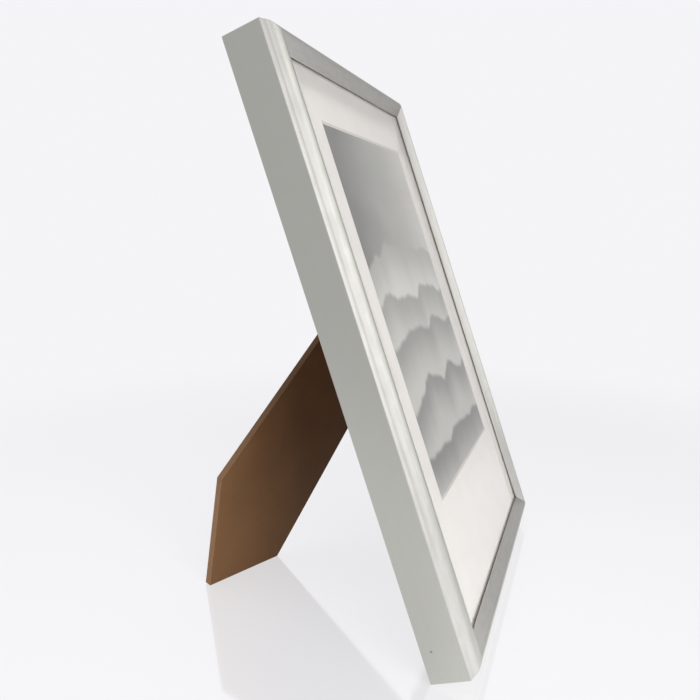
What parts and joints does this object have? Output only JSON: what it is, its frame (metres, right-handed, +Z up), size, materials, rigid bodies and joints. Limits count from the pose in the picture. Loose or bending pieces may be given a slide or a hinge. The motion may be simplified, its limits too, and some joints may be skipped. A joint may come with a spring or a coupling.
{
  "type": "easel back photo frame",
  "caption": "Photo frame that leans on a folding easel leg: mitred silver moulding, glass, bevelled mat over a picture, and a fibreboard back held by bendable tabs.",
  "frame": {"origin": "centre of the standing frame's footprint, on the table", "axes": "+Z up, +X to the right as seen from the front, +Y to the back; the frame leans back on its open leg"},
  "size_m": [0.22, 0.1742, 0.3084],
  "materials": {
    "silver_moulding": "silver leaf lacquer over softwood, streaky satin",
    "clear_glass": "clear float glass",
    "mat_card": "lightly toothed warm white mat board",
    "print_paper": "satin grey print",
    "grey_card": "uncoated grey card",
    "corrugated_card": "kraft",
    "fibreboard": "dark medium-density fibreboard, matt, cut edges",
    "plated_steel": "zinc plated",
    "spring_steel": "blued strip",
    "wafer_steel": "bright rolled strip"
  },
  "bodies": {
    "frame": {"top_rail": "silver_moulding", "bottom_rail": "silver_moulding", "left_rail": "silver_moulding", "right_rail": "silver_moulding", "corner_wafers": "wafer_steel", "glazing": "clear_glass", "mat_board": "mat_card", "print_sheet": "print_paper", "backing_card": "grey_card", "corrugated_pad": "corrugated_card", "back_board": "fibreboard", "tab_roots": "spring_steel", "hinge_board_leaf": "plated_steel", "hinge_board_rivets": "plated_steel", "hinge_pin": "plated_steel", "hanger_nails": "plated_steel", "hanger_top": "plated_steel", "hanger_right": "plated_steel"},
    "leg": {"easel_leg": "fibreboard", "hinge_leg_leaf": "plated_steel", "hinge_leg_rivets": "plated_steel"},
    "tab_top": {"tab_top": "spring_steel"},
    "tab_bottom": {"tab_bottom": "spring_steel"},
    "tab_left_upper": {"tab_left_upper": "spring_steel"},
    "tab_left_lower": {"tab_left_lower": "spring_steel"},
    "tab_right_upper": {"tab_right_upper": "spring_steel"},
    "tab_right_lower": {"tab_right_lower": "spring_steel"}
  },
  "joints": [
    {"name": "leg_fold", "type": "hinge", "parent": "frame", "child": "leg", "pos_m": [0.072, -0.00254, 0.19401], "axis": [0.7501, -0.2204, -0.6235], "range_deg": [-35.4, 0]},
    {"name": "tab_top_bend", "type": "hinge", "parent": "frame", "child": "tab_top", "pos_m": [0, 0.03187, 0.29555], "axis": [1, 0, 0], "range_deg": [0, 90]},
    {"name": "tab_bottom_bend", "type": "hinge", "parent": "frame", "child": "tab_bottom", "pos_m": [0, -0.06859, 0.01138], "axis": [-1, 0, 0], "range_deg": [0, 90]},
    {"name": "tab_left_upper_bend", "type": "hinge", "parent": "frame", "child": "tab_left_upper", "pos_m": [-0.1007, 0.00497, 0.21946], "axis": [0, 0.3333, 0.9428], "range_deg": [0, 90]},
    {"name": "tab_left_lower_bend", "type": "hinge", "parent": "frame", "child": "tab_left_lower", "pos_m": [-0.1007, -0.04169, 0.08747], "axis": [0, 0.3333, 0.9428], "range_deg": [0, 90]},
    {"name": "tab_right_upper_bend", "type": "hinge", "parent": "frame", "child": "tab_right_upper", "pos_m": [0.1007, 0.00497, 0.21946], "axis": [0, -0.3333, -0.9428], "range_deg": [0, 90]},
    {"name": "tab_right_lower_bend", "type": "hinge", "parent": "frame", "child": "tab_right_lower", "pos_m": [0.1007, -0.04169, 0.08747], "axis": [0, -0.3333, -0.9428], "range_deg": [0, 90]}
  ]
}
